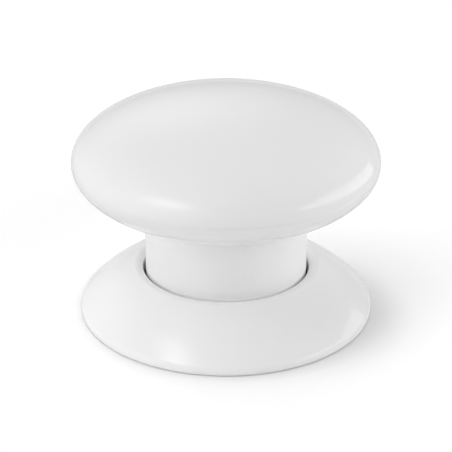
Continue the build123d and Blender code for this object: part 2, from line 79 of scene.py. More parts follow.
def closeOutline(profile, chain):
    # missing edges between the stretches, then the rounded corners
    for (first, _), (second, _) in zip(chain, chain[1:] + chain[:1]):
        if profile.edges.get((first, second)) is None:
            profile.edges.new((first, second))
    for corner, rounding in [link for link in chain if link[1] > 0]:
        bmesh.ops.bevel(profile, geom=[corner], offset=rounding, offset_type="OFFSET", affect="VERTICES",
                        segments=meshing["cornerSteps"], profile=0.5, material=-1)


def turnOutline(profile, steps):
    bmesh.ops.spin(profile, geom=profile.verts[:] + profile.edges[:], cent=(0, 0, 0), axis=(0, 0, 1),
                   angle=math.tau, steps=steps, use_merge=True, use_duplicate=False)
    bmesh.ops.remove_doubles(profile, verts=profile.verts[:], dist=meshing["mergeDistance"])
    bmesh.ops.recalc_face_normals(profile, faces=profile.faces[:])


def ellipseAngle(radius, halfWidth):
    return math.degrees(math.acos(radius / halfWidth))


def ellipseReach(rise, halfWidth, halfHeight):
    return halfWidth * math.sqrt(1 - (rise / halfHeight) ** 2)


def placeMesh(work, name, material):
    # from millimetres to a linked object in metres
    bmesh.ops.scale(work, vec=(millimetre, millimetre, millimetre), verts=work.verts[:])
    mesh = bpy.data.meshes.new(name)
    work.to_mesh(mesh)
    work.free()
    mesh.materials.append(material)
    placed = bpy.data.objects.new(name, mesh)
    bpy.context.scene.collection.objects.link(placed)
    return placed


def finishPiece(work, name, body, material, standsFor):
    piece = placeMesh(work, name, material)
    mesh = piece.data
    mesh.shade_smooth()
    mesh.set_sharp_from_angle(angle=math.radians(meshing["sharpAngle"]))
    weighted = piece.modifiers.new("evenShading", "WEIGHTED_NORMAL")
    weighted.keep_sharp = True
    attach(piece, body)
    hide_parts(standsFor)
    print("made", name, "with", len(mesh.polygons), "faces")
    return piece


# Material helpers

def addNode(tree, kind, inputs=None, **settings):
    node = tree.nodes.new(kind)
    for name, value in settings.items():
        setattr(node, name, value)
    for name, value in (inputs or {}).items():
        if isinstance(value, bpy.types.NodeSocket):
            tree.links.new(value, node.inputs[name])
        else:
            node.inputs[name].default_value = value
    return node


def newGroup(name, inputs, outputs):
    group = bpy.data.node_groups.new(name, "ShaderNodeTree")
    for label, kind, value in inputs:
        socket = group.interface.new_socket(name=label, in_out="INPUT", socket_type=kind)
        if value is not None:
            socket.default_value = value
    for label, kind in outputs:
        group.interface.new_socket(name=label, in_out="OUTPUT", socket_type=kind)
    return group, group.nodes.new("NodeGroupInput").outputs, group.nodes.new("NodeGroupOutput").inputs


def useGroup(tree, group, inputs):
    return addNode(tree, "ShaderNodeGroup", inputs, node_tree=group)


def mixColour(tree, factor, first, second, blend="MIX"):
    node = addNode(tree, "ShaderNodeMix", data_type="RGBA", blend_type=blend)
    for name, value in (("Factor", factor), ("A", first), ("B", second)):
        socket = [entry for entry in node.inputs if entry.name == name and entry.enabled][0]
        if isinstance(value, bpy.types.NodeSocket):
            tree.links.new(value, socket)
        else:
            socket.default_value = value
    return [entry for entry in node.outputs if entry.enabled][0]


def mapValue(tree, value, fromRange, toRange=(0.0, 1.0), smooth=False):
    node = addNode(tree, "ShaderNodeMapRange", {"Value": value, "From Min": fromRange[0], "From Max": fromRange[1],
                                                "To Min": toRange[0], "To Max": toRange[1]},
                   interpolation_type="SMOOTHSTEP" if smooth else "LINEAR")
    return node.outputs["Result"]


def combine(tree, operation, first, second=0.0):
    return addNode(tree, "ShaderNodeMath", {0: first, 1: second}, operation=operation).outputs[0]


def measure(tree, operation, first, second=None):
    # one number from one or two vectors
    given = {0: first} if second is None else {0: first, 1: second}
    return addNode(tree, "ShaderNodeVectorMath", given, operation=operation).outputs["Value"]


def axisOf(tree, place, axis):
    return addNode(tree, "ShaderNodeSeparateXYZ", {"Vector": place}).outputs[axis]


def addNoise(tree, vector, scale, detail, roughness):
    return addNode(tree, "ShaderNodeTexNoise", {"Vector": vector, "Scale": scale, "Detail": detail,
                                                "Roughness": roughness}).outputs["Fac"]


def stretchPlace(tree, vector, scale, rotation=(0.0, 0.0, 0.0)):
    stretched = addNode(tree, "ShaderNodeMapping", {"Vector": vector, "Rotation": rotation, "Scale": scale})
    return stretched.outputs["Vector"]


# Effects that several materials share

effects = {
    "patchRange": (0.3, 0.7), "grainRange": (0.25, 0.75),
    "hairlines": ((24.0, 0.035), (-51.0, 0.05), (83.0, 0.04)),  # turn and stretch of each set
    "hairlineTilt": (0.4, 0.2), "hairlineRange": (0.66, 0.74),
    "dustScale": 420.0, "stainScale": 380.0, "stainRange": (0.14, 0.38), "streakRange": (0.3, 0.7),
}


def mouldedSkinGroup():
    # slow shade drift, patchy gloss and fine grain of moulded plastic
    group, given, result = newGroup("mouldedSkin", [
        ("Vector", "NodeSocketVector", None),
        ("Base", "NodeSocketColor", (0.8, 0.8, 0.8, 1)),
        ("Shade", "NodeSocketColor", (0.78, 0.78, 0.78, 1)),
        ("Patch Scale", "NodeSocketFloat", 90.0),
        ("Grain Scale", "NodeSocketFloat", 4000.0),
        ("Roughness Low", "NodeSocketFloat", 0.05),
        ("Roughness High", "NodeSocketFloat", 0.1),
    ], [("Color", "NodeSocketColor"), ("Roughness", "NodeSocketFloat"), ("Height", "NodeSocketFloat")])
    patches = addNoise(group, given["Vector"], given["Patch Scale"], detail=3.0, roughness=0.5)
    grain = addNoise(group, given["Vector"], given["Grain Scale"], detail=2.0, roughness=0.6)
    spread = mapValue(group, patches, effects["patchRange"])
    gloss = mapValue(group, grain, effects["grainRange"], (given["Roughness Low"], given["Roughness High"]))
    group.links.new(mixColour(group, spread, given["Base"], given["Shade"]), result["Color"])
    group.links.new(gloss, result["Roughness"])
    group.links.new(grain, result["Height"])
    return group


def hairlinesGroup():
    # faint crossed hairlines that handling leaves in a polished surface
    group, given, result = newGroup("handlingHairlines", [
        ("Vector", "NodeSocketVector", None),
        ("Scale", "NodeSocketFloat", 240.0),
        ("Share", "NodeSocketFloat", 0.25),
    ], [("Mask", "NodeSocketFloat")])
    shown = 0.0
    for turn, stretch in effects["hairlines"]:
        rotation = (*effects["hairlineTilt"], math.radians(turn))
        pulled = stretchPlace(group, given["Vector"], (1.0, stretch, 1.0), rotation)
        lines = addNoise(group, pulled, given["Scale"], detail=4.0, roughness=0.75)
        shown = combine(group, "MAXIMUM", mapValue(group, lines, effects["hairlineRange"]), shown)
    group.links.new(combine(group, "MULTIPLY", shown, given["Share"]), result["Mask"])
    return group


def jointDustAndShadeGroup():
    # a breath of dust that gathers about one height, such as a seam or the foot's lower edge; at the foot's lower
    # edge the darkening is also painted shade where the foot meets the table
    group, given, result = newGroup("jointDustAndShade", [
        ("Vector", "NodeSocketVector", None),
        ("Height", "NodeSocketFloat", 0.023),
        ("Reach", "NodeSocketFloat", 0.0008),
        ("Amount", "NodeSocketFloat", 0.3),
    ], [("Mask", "NodeSocketFloat")])
    height = axisOf(group, given["Vector"], "Z")
    distance = combine(group, "ABSOLUTE", combine(group, "SUBTRACT", height, given["Height"]))
    near = mapValue(group, distance, (given["Reach"], 0.0), smooth=True)
    dust = addNoise(group, given["Vector"], effects["dustScale"], detail=5.0, roughness=0.7)
    uneven = combine(group, "MULTIPLY", near, dust)
    group.links.new(combine(group, "MULTIPLY", uneven, given["Amount"]), result["Mask"])
    return group


def drawnMetalGroup():
    # streaks that rolling, drawing or turning leaves in metal, along the stretched axis
    group, given, result = newGroup("drawnMetal", [
        ("Vector", "NodeSocketVector", None),
        ("Stretch", "NodeSocketVector", (1.0, 1.0, 0.05)),
        ("Streak Scale", "NodeSocketFloat", 2500.0),
        ("Light", "NodeSocketColor", (0.72, 0.72, 0.72, 1)),
        ("Dark", "NodeSocketColor", (0.6, 0.6, 0.6, 1)),
        ("Roughness Low", "NodeSocketFloat", 0.2),
        ("Roughness High", "NodeSocketFloat", 0.4),
    ], [("Color", "NodeSocketColor"), ("Roughness", "NodeSocketFloat"), ("Height", "NodeSocketFloat")])
    pulled = stretchPlace(group, given["Vector"], given["Stretch"])
    streaks = addNoise(group, pulled, given["Streak Scale"], detail=4.0, roughness=0.65)
    stains = addNoise(group, given["Vector"], effects["stainScale"], detail=4.0, roughness=0.6)
    spread = mapValue(group, combine(group, "MULTIPLY", streaks, stains), effects["stainRange"])
    gloss = mapValue(group, streaks, effects["streakRange"], (given["Roughness Low"], given["Roughness High"]))
    group.links.new(mixColour(group, spread, given["Dark"], given["Light"]), result["Color"])
    group.links.new(gloss, result["Roughness"])
    group.links.new(streaks, result["Height"])
    return group


mouldedSkin = mouldedSkinGroup()
handlingHairlines = hairlinesGroup()
jointDustAndShade = jointDustAndShadeGroup()
drawnMetal = drawnMetalGroup()


def newMaterial(name, shine):
    material = bpy.data.materials.new(name)
    material.use_nodes = True
    tree = material.node_tree
    shader = tree.nodes["Principled BSDF"]
    for socket, value in shine.items():
        shader.inputs[socket].default_value = value
    place = addNode(tree, "ShaderNodeTexCoord").outputs["Object"]
    return material, tree, shader, place


def addSkin(tree, place, base, shade, patch, grain, rough):
    return useGroup(tree, mouldedSkin, {
        "Vector": place, "Base": base, "Shade": shade, "Patch Scale": patch, "Grain Scale": grain,
        "Roughness Low": rough[0], "Roughness High": rough[1]})


def addStreaks(tree, place, stretch, scale, light, dark, rough):
    return useGroup(tree, drawnMetal, {
        "Vector": place, "Stretch": stretch, "Streak Scale": scale, "Light": light, "Dark": dark,
        "Roughness Low": rough[0], "Roughness High": rough[1]})


def wireSurface(tree, shader, colour, roughness, height, strength, distance):
    # colour, gloss and bump into the material's own shader; distance is the bump's depth in metres
    tree.links.new(colour, shader.inputs["Base Color"])
    tree.links.new(roughness, shader.inputs["Roughness"])
    bump = addNode(tree, "ShaderNodeBump", {"Height": height, "Strength": strength, "Distance": distance})
    tree.links.new(bump.outputs["Normal"], shader.inputs["Normal"])


def grey(level):
    return (level, level, level, 1.0)


# Polished white shells of head and foot, with dust at the seam, and dust with painted shade at the foot's lower edge

polishedWhite = {
    "head": {"base": grey(0.84), "shade": (0.825, 0.826, 0.828, 1.0), "height": 23.06, "reach": 0.3, "dustAndShade": 0.08},
    # the foot's base and shade are painted lighter than the head's: the same white plastic, lightened to stand in for
    # more light on the foot
    "foot": {"base": grey(0.87), "shade": (0.855, 0.856, 0.858, 1.0), "height": 0.3, "reach": 0.5, "dustAndShade": 0.1},
    "patch": 60.0, "grain": 700.0, "rough": (0.012, 0.03), "ior": 1.46, "bump": 0.12, "bumpDepth": 0.00001,
    "hairlineScale": 900.0, "hairlineShare": 0.3, "scuff": 0.03,
    "dustAndShadeColour": (0.62, 0.61, 0.59, 1.0), "dulling": 0.25,
}


def makePolishedWhite(name, shell):
    look = polishedWhite
    material, tree, shader, place = newMaterial(name, {"IOR": look["ior"]})
    skin = addSkin(tree, place, shell["base"], shell["shade"], look["patch"], look["grain"], look["rough"])
    hairlines = useGroup(tree, handlingHairlines, {
        "Vector": place, "Scale": look["hairlineScale"], "Share": look["hairlineShare"]})
    dustAndShade = useGroup(tree, jointDustAndShade, {
        "Vector": place, "Height": shell["height"] * millimetre, "Reach": shell["reach"] * millimetre,
        "Amount": shell["dustAndShade"]})
    # darker towards the dust colour at the seam and at the foot's lower edge; at the foot's edge this is also painted
    # shade
    colour = mixColour(tree, dustAndShade.outputs["Mask"], skin.outputs["Color"], look["dustAndShadeColour"])
    scuffed = combine(tree, "MULTIPLY", hairlines.outputs["Mask"], look["scuff"])
    dusty = combine(tree, "MULTIPLY", dustAndShade.outputs["Mask"], look["dulling"])
    rough = combine(tree, "ADD", skin.outputs["Roughness"], combine(tree, "ADD", scuffed, dusty))
    wireSurface(tree, shader, colour, rough, skin.outputs["Height"], look["bump"], look["bumpDepth"])
    return material


headWhite = makePolishedWhite("polishedHeadWhite", polishedWhite["head"])
# the foot's copy of the white is painted lighter, standing in for more light on the foot
footWhitePaintedLighter = makePolishedWhite("polishedFootWhitePaintedLighter", polishedWhite["foot"])

# Satin stem: rubbed upright by the foot's lip, and painted plain white from just above the lip's top downwards,
# brightening the shade in the gap round the stem

satinWhite = {
    "base": grey(0.86), "shade": grey(0.84), "patch": 80.0, "grain": 9000.0, "rough": (0.36, 0.46), "ior": 1.46,
    "bump": 0.25, "bumpDepth": 0.00001,
    "rubShare": 0.3, "rubStretch": (1.0, 1.0, 0.03), "rubScale": 1600.0, "rubLight": grey(1.0), "rubDark": grey(0.97),
    "rubRough": (0.0, 0.05), "paintedLight": grey(1.0), "paintedLightFrom": 7.2, "paintedLightTo": 6.8,
}


def makeSatinWhite():
    look = satinWhite
    material, tree, shader, place = newMaterial("satinStemWhite", {"IOR": look["ior"]})
    skin = addSkin(tree, place, look["base"], look["shade"], look["patch"], look["grain"], look["rough"])
    rub = addStreaks(tree, place, look["rubStretch"], look["rubScale"], look["rubLight"], look["rubDark"],
                     look["rubRough"])
    rubbed = mixColour(tree, look["rubShare"], skin.outputs["Color"], rub.outputs["Color"], "MULTIPLY")
    # painted light: the stem turns plain white from just above the lip's top downwards, brightening the shade in the
    # gap
    paintedLightShare = mapValue(tree, axisOf(tree, place, "Z"), (look["paintedLightFrom"] * millimetre, look["paintedLightTo"] * millimetre),
                       smooth=True)
    colour = mixColour(tree, paintedLightShare, rubbed, look["paintedLight"])
    rough = combine(tree, "ADD", skin.outputs["Roughness"], rub.outputs["Roughness"])
    wireSurface(tree, shader, colour, rough, skin.outputs["Height"], look["bump"], look["bumpDepth"])
    return material


stemWhite = makeSatinWhite()

# Plain plastics inside: one entry for each, with the grain of its mould

insidePlastics = {
    "plate_plastic": {"base": grey(0.72), "shade": grey(0.66), "patch": 120.0, "grain": 5200.0,
                      "rough": (0.45, 0.62), "bump": 0.5},
    "tube_plastic": {"base": (0.70, 0.70, 0.67, 1), "shade": (0.63, 0.63, 0.59, 1), "patch": 150.0, "grain": 3500.0,
                     "rough": (0.38, 0.55), "bump": 0.3},
    "black_plastic": {"base": (0.022, 0.022, 0.024, 1), "shade": (0.034, 0.034, 0.036, 1), "patch": 500.0,
                      "grain": 9000.0, "rough": (0.4, 0.6), "bump": 0.6},
    "plunger_plastic": {"base": (0.62, 0.59, 0.50, 1), "shade": (0.52, 0.49, 0.41, 1), "patch": 420.0,
                        "grain": 6000.0, "rough": (0.3, 0.45), "bump": 0.3},
    "cell_seal": {"base": (0.015, 0.015, 0.016, 1), "shade": (0.04, 0.037, 0.033, 1), "patch": 900.0,
                  "grain": 12000.0, "rough": (0.7, 0.9), "bump": 0.8},
}
plasticWear = {"ior": 1.48, "hairlineScale": 700.0, "hairlineShare": 0.3, "hairline": grey(0.5), "bumpDepth": 0.00002}


def makeInsidePlastic(slotName):
    look = insidePlastics[slotName]
    material, tree, shader, place = newMaterial(slotName, {"IOR": plasticWear["ior"]})
    skin = addSkin(tree, place, look["base"], look["shade"], look["patch"], look["grain"], look["rough"])
    hairlines = useGroup(tree, handlingHairlines, {
        "Vector": place, "Scale": plasticWear["hairlineScale"], "Share": plasticWear["hairlineShare"]})
    colour = mixColour(tree, hairlines.outputs["Mask"], skin.outputs["Color"], plasticWear["hairline"])
    wireSurface(tree, shader, colour, skin.outputs["Roughness"], skin.outputs["Height"], look["bump"],
                plasticWear["bumpDepth"])
    return material


# Metals: streak direction, colours and gloss of each

metals = {
    "screw_steel": {"stretch": (1.0, 1.0, 0.3), "scale": 3000.0, "light": (0.62, 0.63, 0.66, 1),
                    "dark": (0.46, 0.47, 0.50, 1), "rough": (0.22, 0.4)},
    "spring_steel": {"stretch": (0.08, 0.08, 1.0), "scale": 5000.0, "light": (0.56, 0.56, 0.57, 1),
                     "dark": (0.36, 0.36, 0.37, 1), "rough": (0.18, 0.34)},
    "contact_metal": {"stretch": (0.04, 1.0, 0.04), "scale": 3200.0, "light": (0.74, 0.69, 0.58, 1),
                      "dark": (0.58, 0.53, 0.42, 1), "rough": (0.2, 0.36)},
    "cell_steel": {"stretch": (1.0, 1.0, 0.03), "scale": 2600.0, "light": (0.68, 0.68, 0.68, 1),
                   "dark": (0.52, 0.52, 0.53, 1), "rough": (0.16, 0.3)},
    "shield_tin": {"stretch": (1.0, 0.05, 1.0), "scale": 3000.0, "light": (0.70, 0.71, 0.73, 1),
                   "dark": (0.56, 0.57, 0.6, 1), "rough": (0.24, 0.42)},
}


def makeMetal(slotName):
    material, tree, shader, place = newMaterial(slotName, {"Metallic": 1.0})
    skin = addStreaks(tree, place, **metals[slotName])
    wireSurface(tree, shader, skin.outputs["Color"], skin.outputs["Roughness"], skin.outputs["Height"],
                strength=0.3, distance=0.00001)
    return material


def makePadFoam():
    # closed cells of an adhesive foam, darker in their pores
    material, tree, shader, place = newMaterial("pad_foam", {"IOR": 1.4})
    cells = addNode(tree, "ShaderNodeTexVoronoi", {"Vector": place, "Scale": 2600.0}, feature="SMOOTH_F1")
    skin = addSkin(tree, place, base=(0.60, 0.60, 0.57, 1), shade=(0.50, 0.50, 0.47, 1), patch=140.0, grain=2200.0,
                   rough=(0.5, 0.75))
    pores = mapValue(tree, cells.outputs["Distance"], (0.1, 0.6))
    darker = mapValue(tree, pores, (0.0, 0.5), (0.35, 0.0))
    colour = mixColour(tree, darker, skin.outputs["Color"], (0.35, 0.35, 0.32, 1))
    wireSurface(tree, shader, colour, skin.outputs["Roughness"], pores, strength=0.5, distance=0.00005)
    return material


def makeCellWrap():
    # shrunk film: fine upright shrink lines and a lapped seam
    material, tree, shader, place = newMaterial("cell_wrap", {"IOR": 1.5})
    film = addStreaks(tree, place, stretch=(1.0, 1.0, 0.06), scale=900.0, light=(0.055, 0.13, 0.27, 1),
                      dark=(0.035, 0.09, 0.2, 1), rough=(0.16, 0.28))
    seam = mapValue(tree, combine(tree, "ABSOLUTE", axisOf(tree, place, "X")), (0.0006, 0.0007), (1.0, 0.0))
    lapped = combine(tree, "MULTIPLY", seam, mapValue(tree, axisOf(tree, place, "Y"), (0.0, 0.001)))
    colour = mixColour(tree, lapped, film.outputs["Color"], (0.03, 0.07, 0.15, 1))
    wireSurface(tree, shader, colour, film.outputs["Roughness"], combine(tree, "ADD", film.outputs["Height"], lapped),
                strength=0.35, distance=0.00003)
    return material


def makeBoardLaminate():
    # solder mask over tracks, with plated holes and the weave of the glass showing faintly
    material, tree, shader, place = newMaterial("board_laminate", {
        "IOR": 1.5, "Coat Weight": 0.3, "Coat Roughness": 0.15})
    tracks = addNode(tree, "ShaderNodeTexBrick", {
        "Vector": place, "Color1": grey(0.0), "Color2": grey(0.0), "Mortar": grey(1.0), "Scale": 1000.0,
        "Mortar Size": 0.12, "Mortar Smooth": 0.05, "Brick Width": 2.9, "Row Height": 1.1})
    broken = addNoise(tree, place, scale=260.0, detail=1.0, roughness=0.5)
    shown = combine(tree, "MULTIPLY", tracks.outputs["Fac"], mapValue(tree, broken, (0.44, 0.5)))
    vias = addNode(tree, "ShaderNodeTexVoronoi", {"Vector": place, "Scale": 420.0, "Randomness": 0.8}, feature="F1",
                   voronoi_dimensions="2D")
    pads = mapValue(tree, vias.outputs["Distance"], (0.1, 0.13), (1.0, 0.0))
    weave = addNode(tree, "ShaderNodeTexWave", {"Vector": place, "Scale": 900.0, "Distortion": 0.4},
                    wave_type="BANDS", bands_direction="DIAGONAL")
    skin = addSkin(tree, place, base=(0.012, 0.10, 0.035, 1), shade=(0.009, 0.075, 0.028, 1), patch=200.0,
                   grain=5000.0, rough=(0.28, 0.42))
    woven = mapValue(tree, weave.outputs["Fac"], (0.0, 1.0), (0.0, 0.25))
    masked = mixColour(tree, woven, skin.outputs["Color"], (0.02, 0.13, 0.05, 1))
    tracked = mixColour(tree, shown, masked, (0.03, 0.2, 0.075, 1))
    plated = mixColour(tree, pads, tracked, (0.62, 0.5, 0.26, 1))
    tree.links.new(pads, shader.inputs["Metallic"])
    wireSurface(tree, shader, plated, skin.outputs["Roughness"], combine(tree, "ADD", shown, pads),
                strength=0.4, distance=0.00003)
    return material


def makeLedLens():
    # milky epoxy with warm patches of phosphor
    material, tree, shader, place = newMaterial("led_lens", {"IOR": 1.52, "Coat Weight": 0.4, "Coat Roughness": 0.05})
    skin = addSkin(tree, place, base=(0.80, 0.79, 0.70, 1), shade=(0.76, 0.70, 0.48, 1), patch=900.0, grain=5000.0,
                   rough=(0.12, 0.25))
    wireSurface(tree, shader, skin.outputs["Color"], skin.outputs["Roughness"], skin.outputs["Height"],
                strength=0.1, distance=0.00001)
    return material


def makeChipCeramic():
    # fired ceramic with specks of tin
    material, tree, shader, place = newMaterial("chip_ceramic", {"IOR": 1.5})
    skin = addSkin(tree, place, base=(0.30, 0.19, 0.10, 1), shade=(0.20, 0.12, 0.065, 1), patch=700.0, grain=9000.0,
                   rough=(0.4, 0.65))
    specks = addNode(tree, "ShaderNodeTexVoronoi", {"Vector": place, "Scale": 5000.0})
    tinned = mapValue(tree, specks.outputs["Distance"], (0.12, 0.2), (1.0, 0.0))
    colour = mixColour(tree, tinned, skin.outputs["Color"], (0.5, 0.48, 0.45, 1))
    wireSurface(tree, shader, colour, skin.outputs["Roughness"], skin.outputs["Height"],
                strength=0.4, distance=0.00001)
    return material


def makeCapacitorCan():
    # drawn aluminium under a black foot, told apart by height
    footBottom, softEdge = 27.0, 0.02
    material, tree, shader, place = newMaterial("capacitor_can", {})
    can = addStreaks(tree, place, stretch=(1.0, 1.0, 0.04), scale=3000.0, light=(0.8, 0.8, 0.82, 1),
                     dark=(0.66, 0.66, 0.69, 1), rough=(0.2, 0.34))
    metalShare = mapValue(tree, axisOf(tree, place, "Z"), ((footBottom + softEdge) * millimetre,
                                                           (footBottom - softEdge) * millimetre))
    colour = mixColour(tree, metalShare, (0.02, 0.02, 0.022, 1), can.outputs["Color"])
    tree.links.new(metalShare, shader.inputs["Metallic"])
    wireSurface(tree, shader, colour, can.outputs["Roughness"], can.outputs["Height"],
                strength=0.3, distance=0.00001)
    return material


finishes = {"gloss_head": headWhite, "gloss_foot": footWhitePaintedLighter, "satin_stem": stemWhite, "pad_foam": makePadFoam(),
            "cell_wrap": makeCellWrap(), "board_laminate": makeBoardLaminate(), "led_lens": makeLedLens(),
            "chip_ceramic": makeChipCeramic(), "capacitor_can": makeCapacitorCan()}
finishes.update({slotName: makeInsidePlastic(slotName) for slotName in insidePlastics})
finishes.update({slotName: makeMetal(slotName) for slotName in metals})
print("materials made:", len(finishes))

# Every CAD node gets the finish of its slot

for entry in frame["record"]["subparts"]:
    cadNode = frame["nodes"][entry["node"]]
    if not cadNode.material_slots:
        cadNode.data.materials.append(None)
    for materialSlot in cadNode.material_slots:
        materialSlot.material = finishes[entry["material_slot"]]

# Head: an oblate shell in two halves that meet in a seam below the widest line

head = {
    "capRadius": 23.0, "crownHeight": 9.8, "undersideDepth": 9.3, "equator": 24.2, "wall": 1.6,
    "seamHeight": 23.05, "seamGap": 0.01, "seamDepth": 0.3, "seamRounding": 0.03, "lowerSeamRounding": 0.06,
    "ceiling": 32.0, "bossRadius": 2.5, "tongueWall": 1.05, "tongueRise": 1.4, "tongueClearance": 0.05,
    "beadRadius": 0.25, "beadClearance": 0.02, "socketRadius": 12.38, "socketRounding": 0.2,
    "pocketRadius": 14.03, "pocketHeight": 17.867, "edgeRounding": 0.1, "tongueRounding": 0.12,
    "skirtShare": 0.97, "bowlShare": 1.04,  # how near the outer arcs come to the seam's rounded corners
    "turnSteps": 192,
}


def makeDomeCap():
    innerRadius = head["capRadius"] - head["wall"]
    innerCrown = head["crownHeight"] - head["wall"]
    skirtBottom = head["seamHeight"] + head["seamGap"]
    skirtRadius = ellipseReach(head["equator"] - skirtBottom, head["capRadius"], head["undersideDepth"])
    middle = (0, head["equator"])
    beadReach = head["beadRadius"] + head["beadClearance"]
    beadAngle = ellipseAngle(head["tongueClearance"], beadReach)
    beadCentre = (innerRadius - head["tongueClearance"], skirtBottom + head["tongueRise"] / 2)
    vaultAngle = ellipseAngle(head["bossRadius"], innerRadius)
    skirtAngle = ellipseAngle(skirtRadius, head["capRadius"])
    profile = bmesh.new()
    chain = addArc(profile, middle, (head["capRadius"], head["undersideDepth"]), -head["skirtShare"] * skirtAngle,
                   -1.0, steps=4)
    chain += addArc(profile, middle, (head["capRadius"], head["crownHeight"]), 0, 90, steps=60)
    chain += addCorner(profile, 0, head["ceiling"])
    chain += addCorner(profile, head["bossRadius"], head["ceiling"], head["edgeRounding"])
    chain += addArc(profile, middle, (innerRadius, innerCrown), vaultAngle, 0, steps=30)
    chain += addArc(profile, beadCentre, (beadReach, beadReach), beadAngle, -beadAngle, steps=8)
    chain += addCorner(profile, innerRadius, skirtBottom, head["edgeRounding"])
    chain += addCorner(profile, skirtRadius, skirtBottom, head["seamRounding"])
    closeOutline(profile, chain)
    turnOutline(profile, head["turnSteps"])
    return finishPiece(profile, "domeCap", "head", headWhite, "dome_cap")


def makeLowerShell():
    innerRadius = head["capRadius"] - head["wall"]
    innerDepth = head["undersideDepth"] - head["wall"]
    tongueOuter = innerRadius - head["tongueClearance"]
    tongueInner = tongueOuter - head["tongueWall"]
    seamRadius = ellipseReach(head["equator"] - head["seamHeight"], head["capRadius"], head["undersideDepth"])
    landRadius = seamRadius - head["seamDepth"]
    landTop = head["seamHeight"] + head["seamGap"]
    tongueTop = landTop + head["tongueRise"]
    middle = (0, head["equator"])
    socketAngle = ellipseAngle(head["socketRadius"], head["capRadius"])
    seamAngle = ellipseAngle(seamRadius, head["capRadius"])
    profile = bmesh.new()
    chain = addArc(profile, middle, (head["capRadius"], head["undersideDepth"]), -socketAngle,
                   -head["bowlShare"] * seamAngle, steps=48)
    chain[0] = (chain[0][0], head["socketRounding"])
    chain += addCorner(profile, seamRadius, head["seamHeight"], head["lowerSeamRounding"])
    chain += addCorner(profile, landRadius, head["seamHeight"])
    chain += addCorner(profile, landRadius, landTop)
    chain += addCorner(profile, tongueOuter, landTop)
    beadCentre = (tongueOuter, landTop + head["tongueRise"] / 2)
    chain += addArc(profile, beadCentre, (head["beadRadius"], head["beadRadius"]), -90, 90, steps=10)
    chain += addCorner(profile, tongueOuter, tongueTop, head["tongueRounding"])
    chain += addCorner(profile, tongueInner, tongueTop, head["tongueRounding"])
    chain += addArc(profile, middle, (innerRadius, innerDepth), -ellipseAngle(tongueInner, innerRadius),
                    -ellipseAngle(head["pocketRadius"], innerRadius), steps=28)
    chain += addCorner(profile, head["pocketRadius"], head["pocketHeight"])
    chain += addCorner(profile, head["socketRadius"], head["pocketHeight"])
    closeOutline(profile, chain)
    turnOutline(profile, head["turnSteps"])
    return finishPiece(profile, "lowerShell", "head", headWhite, "lower_shell")


# Stem: a sleeve with a floor that slides on the battery tube, keyed by three ribs

stem = {
    "bore": 11.2, "radius": 12.4, "bottom": 4.65, "floorBottom": 17.867, "floorTop": 19.067, "flangeRadius": 14.0,
    "footRounding": 0.3, "boreRounding": 0.2, "flangeRounding": 0.15,
    "guideRadius": 8.8, "keywayRadius": 9.45, "keywayWidth": 1.8, "keyCount": 3, "keyAngle": 60.0, "turnSteps": 360,
}


def makeStemSleeve():
    profile = bmesh.new()
    chain = addCorner(profile, stem["guideRadius"], stem["floorBottom"])
    chain += addCorner(profile, stem["bore"], stem["floorBottom"], stem["boreRounding"])
    chain += addCorner(profile, stem["bore"], stem["bottom"], stem["footRounding"])
    chain += addCorner(profile, stem["radius"], stem["bottom"], stem["footRounding"])
    chain += addCorner(profile, stem["radius"], stem["floorBottom"])
    chain += addCorner(profile, stem["flangeRadius"], stem["floorBottom"], stem["flangeRounding"])
    chain += addCorner(profile, stem["flangeRadius"], stem["floorTop"], stem["flangeRounding"])
    chain += addCorner(profile, stem["guideRadius"], stem["floorTop"])
    closeOutline(profile, chain)
    turnOutline(profile, stem["turnSteps"])
    # the keyways: the bore of the floor steps outwards where a rib passes
    keySpacing = 360 / stem["keyCount"]
    slack = 0.05  # a vertex this near the guide's radius still counts as on it
    for vert in profile.verts:
        reach = math.hypot(vert.co.x, vert.co.y)
        if reach > stem["guideRadius"] + slack:
            continue
        turn = math.degrees(math.atan2(vert.co.y, vert.co.x)) - stem["keyAngle"]
        fromKey = (turn + keySpacing / 2) % keySpacing - keySpacing / 2
        if abs(math.radians(fromKey)) * stem["keywayRadius"] < stem["keywayWidth"] / 2:
            vert.co.xy *= stem["keywayRadius"] / reach
    return finishPiece(profile, "stemSleeve", "head", stemWhite, "stem_sleeve")


# Foot: a flared shell whose lip rolls into the hole round the stem

foot = {
    "radius": 22.6, "height": 7.05, "wall": 1.5, "bore": 20.75, "plateTop": 1.3, "edgeRounding": 0.1,
    "holeRadius": 12.7, "holeWall": 1.45, "holeBottom": 3.6, "holeRounding": 0.15,
    "throatRadius": 12.55, "throatTop": 5.5, "lipRadius": 1.27, "lipSlope": 25.0, "lipTuck": 0.1, "lipDrop": 0.65,
    "rimRound": 1.3, "rimLift": 0.16, "rimHeight": 0.5,
    "lipJoin": 0.6, "rimJoin": 0.4,  # the flank's arc stops short of its neighbours by this many degrees
    "bossCircle": 17.1, "bossRadius": 2.0, "bossAngle": 30.0, "bossCount": 3, "bossCutShare": 0.6,
    "pilotRadius": 0.92, "pilotDepth": 2.4, "turnSteps": 192,
}


def flankArc():
    # the arc that leaves the lip's circle smoothly and runs smoothly into the rim's circle
    slope = math.radians(foot["lipSlope"])
    lipCentre = Vector((foot["holeRadius"] + foot["lipRadius"], foot["height"] - foot["lipRadius"]))
    rimCentre = Vector((foot["radius"] - foot["rimRound"], foot["rimHeight"]))
    outward = Vector((math.sin(slope), math.cos(slope)))
    apart = lipCentre + foot["lipRadius"] * outward - rimCentre
    radius = (apart.length_squared - foot["rimRound"] ** 2) / (2 * (apart.dot(outward) - foot["rimRound"]))
    centre = lipCentre + (foot["lipRadius"] - radius) * outward
    return lipCentre, rimCentre, centre, radius


def angleOf(way):
    return math.degrees(math.atan2(way.y, way.x))


